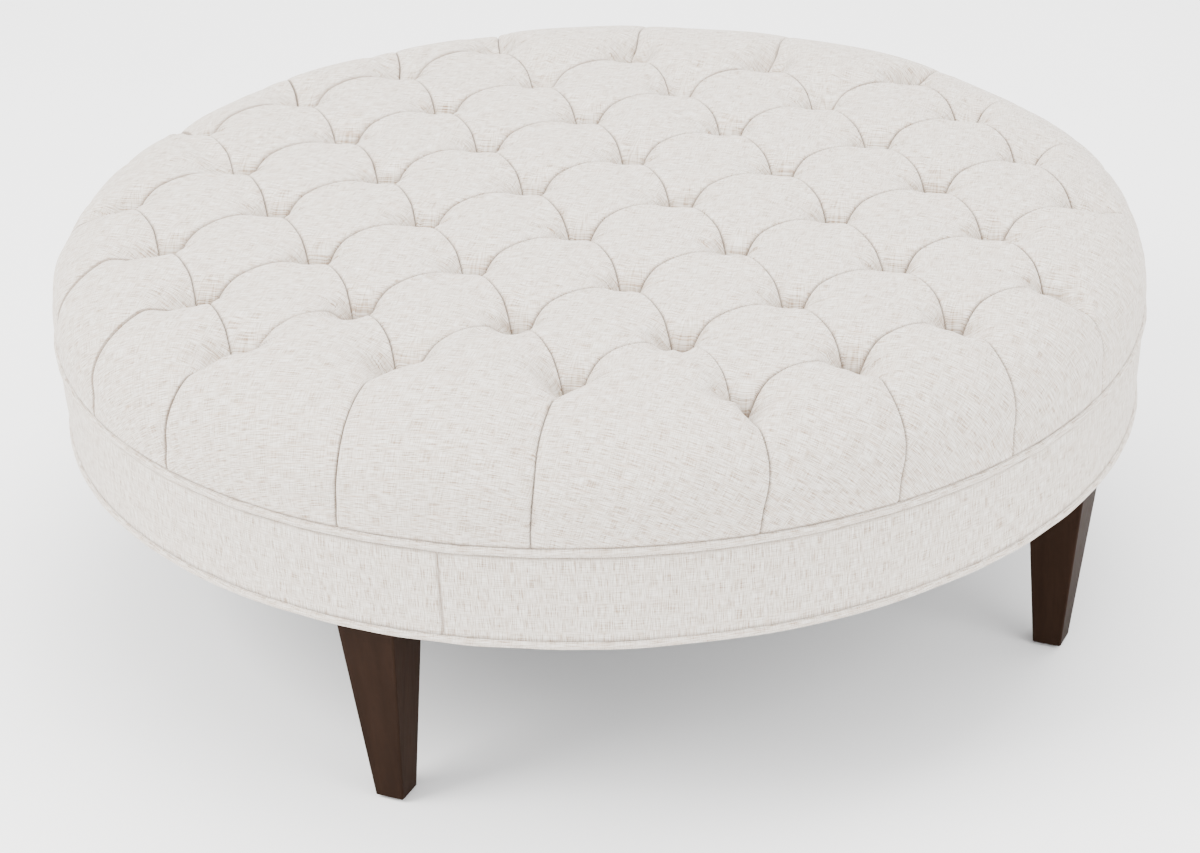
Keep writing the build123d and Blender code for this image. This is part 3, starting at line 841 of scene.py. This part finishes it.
def waves(count, turns_range, size):
    """A seeded sum of waves round the ring."""
    turns = chance.integers(*turns_range, size=count)
    phases = chance.uniform(0, 2 * pi, size=count)
    sizes = chance.uniform(*wave_size_shares, size=count) * size / sqrt(count)
    return lambda angle: float(np.sum(sizes * np.sin(turns * angle + phases)))


def circle_loop(ring_radius, height, radius, count, way=1):
    """(radius, height) points round a circle in a ring's section. A bore goes the other way, -1."""
    angles = [way * 2 * pi * k / count for k in range(count)]
    return [(ring_radius + radius * cos(angle), height + radius * sin(angle)) for angle in angles]


def box_loop(inner, low, outer, high):
    return [(inner, low), (outer, low), (outer, high), (inner, high)]


def welt(name, ring_radius, height, flange):
    """A slightly uneven fabric tube for a cord, with its flange."""
    side = waves(welt_waves, welt_wave_turns, welt_unevenness)
    rise = waves(welt_waves, welt_wave_turns, welt_unevenness)
    tube = circle_loop(ring_radius, height, welt_radius, welt_tube_points)
    bore = circle_loop(ring_radius, height, welt_cord_radius, welt_bore_points, way=-1)
    vertices, faces, cloth = [], [], []
    for loop in (tube, bore, flange):
        faces += ring_faces(welt_segments, len(loop), len(vertices))
        steps = [hypot(b[0] - a[0], b[1] - a[1]) for a, b in zip(loop, loop[1:])]
        around = np.cumsum([0] + steps)
        for k in range(welt_segments):
            angle = k * 2 * pi / welt_segments
            out, up = side(angle), rise(angle)
            for i, (r, z) in enumerate(loop):
                vertices.append(((r + out) * cos(angle), (r + out) * sin(angle), z + up))
                cloth.append((angle * band_radius, around[i], 0))
    obj = mesh_object(name, vertices, faces)
    weave_places(obj, cloth, np.zeros(len(vertices)))
    return obj


hoop_inner_radius = hoop_outer_radius - hoop_thickness
upper_flange = box_loop(
    inner=hoop_inner_radius,
    low=tack_strip_low,
    outer=hoop_inner_radius + flange_thickness,
    high=seam_height + flange_thickness / 2,
)
lower_flange = box_loop(
    inner=lower_ring_radius - welt_radius - flange_width,
    low=ring_underside - flange_thickness,
    outer=lower_ring_radius - welt_cord_radius,
    high=ring_underside,
)
upper_welt = welt("upper_welt_fabric", upper_ring_radius, seam_height, upper_flange)
lower_welt = welt("lower_welt_fabric", lower_ring_radius, lower_ring_height, lower_flange)
for piece, node in ((upper_welt, "upper_welt_cover"), (lower_welt, "lower_welt_cover")):
    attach(piece, "root")
    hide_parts(node)


# Band


def band_fabric():
    """The band: its outer face from the lower edge up, then its inner face back down, all the way round."""
    low, high = band_low.z, band_top.z
    drift = waves(band_drift_waves, band_drift_turns, band_drift)
    ruffle = waves(band_ruffle_waves, band_ruffle_turns, band_ruffle)
    shares = [i / band_steps for i in range(band_steps + 1)]
    vertices, cloth, painted_shade = [], [], []
    for k in range(band_segments):
        angle = join_angle + k * 2 * pi / band_segments
        turn = (angle - join_angle + pi) % (2 * pi) - pi
        distance = abs(turn) * band_radius
        ridge = join_ridge * bell((distance - join_ridge_place) / join_ridge_width)
        join = ridge - join_depth * bell(distance / join_half_width)
        drifted, ruffled = drift(angle), ruffle(angle)
        for share in shares:
            z = low + (high - low) * share
            belly = band_belly * arch(share) ** band_belly_power - band_slack
            uneven = drifted * arch(share) + ruffled * (1 - arch(share)) ** 2
            r = band_radius + welt_flare * smooth(share) + belly + uneven + join
            vertices.append((r * cos(angle), r * sin(angle), z))
            cloth.append((turn * band_radius, z, 0))
            # Painted shade along the join and at both edges by the welts
            edge = band_edge_shade * bell(min(z - low, high - z) / band_edge_shade_width)
            painted_shade.append(max(bell(distance / join_shade_width), edge))
        for share in reversed(shares):
            z = low + (high - low) * share
            r = band_radius + welt_flare * smooth(share) - band_thickness
            vertices.append((r * cos(angle), r * sin(angle), z))
            cloth.append((turn * band_radius, z, 0))
            painted_shade.append(0.0)
    obj = mesh_object("band_fabric", vertices, ring_faces(band_segments, 2 * len(shares), 0))
    weave_places(obj, cloth, painted_shade)
    return obj


band = band_fabric()
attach(band, "root")
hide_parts("band_cover")


# Materials


class Shader:
    """Short ways to lay out shader nodes."""

    def __init__(self, name):
        self.material = bpy.data.materials.new(name)
        self.material.use_nodes = True
        self.tree = self.material.node_tree
        self.surface = self.tree.nodes["Principled BSDF"]

    def feed(self, socket, value):
        """Links a socket to the one given as its value, or sets it. A colour is given without its alpha."""
        if isinstance(value, bpy.types.NodeSocket):
            self.tree.links.new(value, socket)
        elif socket.type == "RGBA":
            socket.default_value = (*value, 1)
        else:
            socket.default_value = value

    def node(self, kind, inputs=(), **settings):
        made = self.tree.nodes.new("ShaderNode" + kind)
        for key, value in settings.items():
            setattr(made, key, value)
        for key, value in dict(inputs).items():
            self.feed(made.inputs[key], value)
        return made

    def set(self, **inputs):
        for key, value in inputs.items():
            self.feed(self.surface.inputs[key.replace("_", " ")], value)

    def ramp(self, factor, *stops):
        made = self.node("ValToRGB", {"Fac": factor})
        elements = made.color_ramp.elements
        while len(elements) < len(stops):
            elements.new(0.5)
        for element, (position, color) in zip(elements, stops):
            element.position = position
            element.color = (*color, 1)
        return made.outputs["Color"]

    def mix(self, factor, a, b):
        made = self.node("Mix", data_type="RGBA")
        colors = [socket for socket in made.inputs if socket.type == "RGBA"]
        for socket, value in zip((made.inputs[0], *colors), (factor, a, b)):
            self.feed(socket, value)
        return next(socket for socket in made.outputs if socket.type == "RGBA")

    def math(self, operation, a, b):
        made = self.node("Math", operation=operation)
        self.feed(made.inputs[0], a)
        self.feed(made.inputs[1], b)
        return made.outputs[0]

    def place(self, source, scale):
        return self.node("Mapping", {"Vector": source, "Scale": scale}).outputs["Vector"]

    def noise(self, vector, scale, detail, roughness):
        inputs = {"Vector": vector, "Scale": scale, "Detail": detail, "Roughness": roughness}
        return self.node("TexNoise", inputs).outputs["Fac"]

    def between(self, factor, low, high):
        return self.node("MapRange", {"Value": factor, "To Min": low, "To Max": high}).outputs[0]

    def bump(self, height, strength, distance):
        made = self.node("Bump", {"Height": height, "Strength": strength, "Distance": distance})
        self.set(Normal=made.outputs["Normal"])


black = (0, 0, 0)
white = (1, 1, 1)
light_thread = (0.76, 0.735, 0.685)
slub_thread = ((0.37, (0.20, 0.118, 0.066)), (0.48, (0.58, 0.510, 0.430)), (0.58, light_thread))
cross_thread = ((0.37, (0.24, 0.160, 0.100)), (0.48, (0.60, 0.535, 0.460)), (0.58, light_thread))
slub_color = (0.46, 0.27, 0.16)
worn_color = (0.54, 0.49, 0.43)
# Dark tan of the painted shade in folds, pits and along the welts
painted_fold_shade = (0.125, 0.078, 0.048)
long_in_x = (0.5, 12, 1)
long_in_y = (12, 0.5, 1)
thread_scale = 118
slub_scale = 60
worn_scale = 34
worn_strength = 0.10
painted_shade_strength = 0.62


def linen(name, slub_along, cross=0.38, slubs=0.28):
    """Plain linen-look weave: threads both ways, slubs along one of them, painted tan shade in the folds,
    pits and seams.
    """
    s = Shader(name)
    cloth = s.node("Attribute", attribute_name="cloth").outputs["Vector"]
    painted_shade = s.node("Attribute", attribute_name="painted_shade").outputs["Fac"]
    along, across = (long_in_x, long_in_y) if slub_along == "x" else (long_in_y, long_in_x)
    thread_a = s.noise(s.place(cloth, along), thread_scale, detail=1, roughness=0.6)
    thread_b = s.noise(s.place(cloth, across), thread_scale, detail=1, roughness=0.6)
    slub = s.noise(s.place(cloth, along), slub_scale, detail=1, roughness=0.5)
    worn = s.noise(cloth, worn_scale, detail=3, roughness=0.55)
    color = s.mix(cross, s.ramp(thread_a, *slub_thread), s.ramp(thread_b, *cross_thread))
    marks = s.ramp(slub, (0.56, black), (0.66, white))
    color = s.mix(s.math("MULTIPLY", marks, slubs), color, slub_color)
    color = s.mix(s.math("MULTIPLY", worn, worn_strength), color, worn_color)
    # Painted shade: the dark tan is mixed in by each point's stored shade, in folds, tuft pits, at the foot
    # and along the band's edges and join
    color = s.mix(s.math("MULTIPLY", painted_shade, painted_shade_strength), color, painted_fold_shade)
    s.bump(s.math("ADD", thread_a, thread_b), strength=0.5, distance=0.0006)
    s.set(Base_Color=color, Roughness=0.92, Sheen_Weight=0.15, Sheen_Roughness=0.5, Specular_IOR_Level=0.2)
    return s.material


def wood(name, dark, light, along, rough=(0.6, 0.8), shine=0.5):
    """Grain that runs along one axis, with pores and broad figure."""
    s = Shader(name)
    place = s.node("TexCoord").outputs["Object"]
    stretch = {"x": (0.05, 1, 1), "z": (1, 1, 0.05)}[along]
    figure = s.noise(s.place(place, stretch), 60, detail=6, roughness=0.6)
    pores = s.noise(s.place(place, stretch), 420, detail=2, roughness=0.5)
    middle = tuple((a + b) / 2 for a, b in zip(dark, light))
    color = s.ramp(figure, (0.30, dark), (0.52, middle), (0.72, light))
    pits = s.ramp(pores, (0.35, white), (0.48, black))
    color = s.mix(s.math("MULTIPLY", pits, 0.5), color, dark)
    s.bump(s.math("ADD", pores, figure), strength=0.12, distance=0.0003)
    s.set(Base_Color=color, Roughness=s.between(pores, *rough), Specular_IOR_Level=shine)
    return s.material


def speckled(name, dark, light, scale, rough, metallic=0.0, bump=0.15):
    """A finish with two scales of variation, for foam, card, plastic and plated steel."""
    s = Shader(name)
    place = s.node("TexCoord").outputs["Object"]
    fine = s.noise(place, scale, detail=4, roughness=0.6)
    broad = s.noise(place, scale / 12, detail=3, roughness=0.5)
    color = s.mix(broad, s.ramp(fine, (0.35, dark), (0.65, light)), light)
    s.bump(fine, strength=bump, distance=0.0004)
    s.set(Base_Color=color, Roughness=s.between(fine, *rough), Metallic=metallic)
    return s.material


def fibres(name, dark, light, stretch, scale, rough=0.9):
    """Strands or felted fibres, for batting, twine and dust cloth."""
    s = Shader(name)
    place = s.node("TexCoord").outputs["Object"]
    strands = s.noise(s.place(place, stretch), scale, detail=5, roughness=0.65)
    clumps = s.noise(place, scale / 8, detail=3, roughness=0.5)
    color = s.mix(clumps, s.ramp(strands, (0.35, dark), (0.65, light)), light)
    s.bump(strands, strength=0.4, distance=0.0006)
    s.set(Base_Color=color, Roughness=rough)
    return s.material


welt_linen = linen("linen_welt", "x")
cushion.data.materials.append(linen("linen_top", "x"))
band.data.materials.append(linen("linen_band", "y", cross=0.40, slubs=0.17))
upper_welt.data.materials.append(welt_linen)
lower_welt.data.materials.append(welt_linen)

stain_dark, stain_light = (0.0112, 0.0052, 0.0028), (0.0180, 0.0088, 0.0050)
ply_dark, ply_light = (0.42, 0.29, 0.17), (0.68, 0.52, 0.34)
timber_dark, timber_light = (0.48, 0.33, 0.19), (0.72, 0.55, 0.36)
foam_dark, foam_light = (0.66, 0.60, 0.42), (0.84, 0.79, 0.60)
batting_dark, batting_light = (0.72, 0.72, 0.70), (0.88, 0.88, 0.87)
twine_dark, twine_light = (0.46, 0.40, 0.30), (0.74, 0.68, 0.55)
card_dark, card_light = (0.26, 0.19, 0.12), (0.42, 0.32, 0.21)
zinc_dark, zinc_light = (0.45, 0.45, 0.44), (0.68, 0.67, 0.62)
nylon_dark, nylon_light = (0.018, 0.016, 0.015), (0.032, 0.030, 0.028)
dust_dark, dust_light = (0.012, 0.012, 0.013), (0.030, 0.030, 0.032)

finishes = {
    "espresso": wood("espresso_wood", stain_dark, stain_light, "z", rough=(0.5, 0.68), shine=0.040),
    "plywood": wood("plywood_face", ply_dark, ply_light, "x"),
    "timber": wood("frame_timber", timber_dark, timber_light, "z"),
    "rail": wood("rail_timber", timber_dark, timber_light, "x"),
    "foam": speckled("foam_cells", foam_dark, foam_light, 900, (0.9, 1.0), bump=0.5),
    "batting": fibres("batting_fibre", batting_dark, batting_light, (1, 1, 3), 240),
    "twine": fibres("waxed_twine", twine_dark, twine_light, (3, 3, 1), 900, rough=0.7),
    "card": speckled("pressed_card", card_dark, card_light, 700, (0.8, 0.95)),
    "steel": speckled("zinc_plate", zinc_dark, zinc_light, 500, (0.28, 0.45), metallic=1.0),
    "nylon": speckled("moulded_nylon", nylon_dark, nylon_light, 800, (0.4, 0.55)),
    "dust": fibres("dust_cloth", dust_dark, dust_light, (1, 4, 1), 500),
}
nodes_of = {
    "espresso": ("leg_front", "leg_right", "leg_back", "leg_left"),
    "plywood": ("tufting_deck", "base_ring", "rim_hoop"),
    "timber": ("frame_posts", "leg_blocks"),
    "rail": ("lower_cross_rail", "upper_cross_rail"),
    "foam": ("foam_core",),
    "batting": ("batting_wrap", "band_padding"),
    "twine": ("tuft_twines", "upper_welt_cord", "lower_welt_cord"),
    "card": ("tuft_washers", "tack_strip"),
    "steel": (
        "hanger_bolts", "leg_t_nuts", "glide_nails", "deck_screws", "ring_screws", "block_screws",
        "hem_staples", "dust_cover_staples",
    ),
    "nylon": ("glides",),
    "dust": ("dust_cover",),
}
for finish, names in nodes_of.items():
    for name in names:
        slots = nodes[name].data.materials
        slots.clear()
        slots.append(finishes[finish])


# Floor and light

floor_size = 30.0
paper_dark, paper_light = (0.955, 0.955, 0.955), (0.975, 0.975, 0.975)
bpy.ops.mesh.primitive_grid_add(x_subdivisions=2, y_subdivisions=2, size=floor_size, location=(0, 0, 0))
floor = bpy.context.object
floor.name = "floor"
paper = Shader("floor_paper")
paper_tone = paper.noise(paper.node("TexCoord").outputs["Object"], 3, detail=2, roughness=0.5)
paper.set(Base_Color=paper.ramp(paper_tone, (0.3, paper_dark), (0.7, paper_light)), Roughness=0.9)
floor.data.materials.append(paper.material)

world = bpy.data.worlds.new("studio")
world.use_nodes = True
background = world.node_tree.nodes["Background"].inputs
background["Color"].default_value = (1, 1, 1, 1)
background["Strength"].default_value = 2.65
bpy.context.scene.world = world

lit_point = Vector((0, 0, 0.3))


def softbox(name, location, side, power, color=(1, 1, 1)):
    """A square area light that faces the cushion."""
    data = bpy.data.lights.new(name, "AREA")
    data.shape = "RECTANGLE"
    data.size = data.size_y = side
    data.energy = power
    data.color = color
    light = bpy.data.objects.new(name, data)
    light.location = location
    light.rotation_euler = (lit_point - Vector(location)).to_track_quat("-Z", "Y").to_euler()
    bpy.context.scene.collection.objects.link(light)


softbox("key", (-2.6, -2.4, 3.2), 2.2, 300, (1.0, 0.985, 0.96))
softbox("fill", (3.4, -1.6, 2.2), 2.4, 100)
softbox("overhead", (0.3, 0.8, 3.6), 3.0, 150)

# Camera, fitted to the photograph's tufts, welts and feet. Its heading is clockwise from +Y

camera_place = (0.967085, -3.183838, 1.886200)
camera_heading = radians(-16.973312)
camera_dip = radians(27.289615)
camera_roll = radians(-1.997181)
camera_data = bpy.data.cameras.new("camera")
camera_data.sensor_width = 36.0
camera_data.lens = 96.917
camera = bpy.data.objects.new("camera", camera_data)
turned = Matrix.Rotation(-camera_heading, 4, "Z")
tipped = Matrix.Rotation(pi / 2 - camera_dip, 4, "X")
rolled = Matrix.Rotation(camera_roll, 4, "Z")
camera.matrix_world = Matrix.Translation(camera_place) @ turned @ tipped @ rolled
bpy.context.scene.collection.objects.link(camera)
bpy.context.scene.camera = camera
